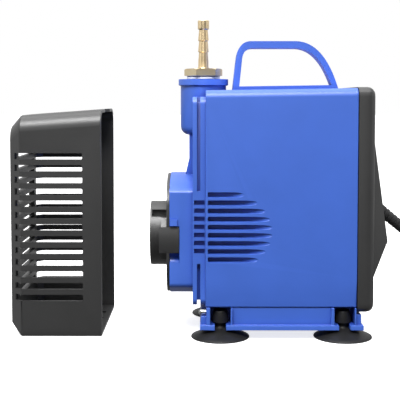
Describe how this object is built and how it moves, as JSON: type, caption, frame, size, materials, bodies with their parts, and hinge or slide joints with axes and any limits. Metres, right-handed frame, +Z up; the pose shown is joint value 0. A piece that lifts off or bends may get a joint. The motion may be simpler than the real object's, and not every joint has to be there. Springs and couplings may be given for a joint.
{
  "type": "fountain submersible pump",
  "caption": "Submersible fountain pump: blue box-shaped motor and pump head with brass hose tail, carry handle, suction feet and mains cord, with its black slotted intake strainer pulled off.",
  "frame": {"origin": "on the floor, below the middle of the pump and its pulled-off strainer taken together (their bounding box without the cord)", "axes": "+X along the pump from the intake towards the cord end, +Y across the pump away from the viewer, +Z up"},
  "size_m": [0.4132, 0.1593, 0.2213],
  "materials": {
    "blue_plastic": "moulded ABS, soft satin gloss",
    "black_plastic": "moulded ABS, fine satin grain",
    "rubber": "soft moulded rubber",
    "cord_rubber": "rubber cord sheath",
    "brass": "turned brass",
    "steel": "bright zinc plate",
    "core_steel": "varnished steel laminations",
    "ceramic": "ground alumina",
    "magnet": "sintered ferrite",
    "copper": "enamelled copper wire",
    "white_nylon": "moulded nylon",
    "resin": "cast resin",
    "fibre": "flat sealing washer"
  },
  "bodies": {
    "pump": {"motor_housing": "blue_plastic", "base_rail": "blue_plastic", "pump_head": "blue_plastic", "carry_handle": "blue_plastic", "back_cover": "black_plastic", "rotor_can": "black_plastic", "suction_foot_1": "rubber", "suction_foot_2": "rubber", "suction_foot_3": "rubber", "suction_foot_4": "rubber", "back_cover_gasket": "rubber", "can_o_ring": "rubber", "shaft_bush_rear": "rubber", "cord_strain_relief": "cord_rubber", "power_cord": "cord_rubber", "cord_coil": "cord_rubber", "cord_tail": "cord_rubber", "cord_tie": "cord_rubber", "mains_plug": "cord_rubber", "brass_hose_tail": "brass", "pump_head_screw_1": "steel", "pump_head_screw_2": "steel", "pump_head_screw_3": "steel", "pump_head_screw_4": "steel", "back_cover_screw_1": "steel", "back_cover_screw_2": "steel", "back_cover_screw_3": "steel", "back_cover_screw_4": "steel", "base_screw_1": "steel", "base_screw_2": "steel", "plug_blade_line": "steel", "plug_blade_neutral": "steel", "plug_pin_earth": "steel", "stator_core": "core_steel", "rotor_shaft": "ceramic", "thrust_washer_front": "ceramic", "thrust_washer_rear": "ceramic", "coil_winding_near": "copper", "coil_winding_far": "copper", "coil_bobbin_near": "white_nylon", "coil_bobbin_far": "white_nylon", "potting_resin": "resin", "outlet_washer": "fibre"},
    "strainer": {"strainer": "black_plastic"},
    "volute_cover": {"volute_cover": "black_plastic", "cover_o_ring": "rubber", "shaft_bush_front": "rubber"},
    "rotor": {"rotor_magnet": "magnet", "impeller": "white_nylon"}
  },
  "joints": [
    {"name": "strainer_slide", "type": "slide", "parent": "pump", "child": "strainer", "axis": [0.963, -0.1442, 0.2278], "range_m": [0, 0.06937]},
    {"name": "cover_twist", "type": "hinge", "parent": "pump", "child": "volute_cover", "pos_m": [0, 0, 0.0677], "axis": [1, 0, 0], "range_deg": [0, 8]},
    {"name": "rotor_spin", "type": "hinge", "parent": "pump", "child": "rotor", "pos_m": [0, 0, 0.0677], "axis": [1, 0, 0], "continuous": true}
  ]
}
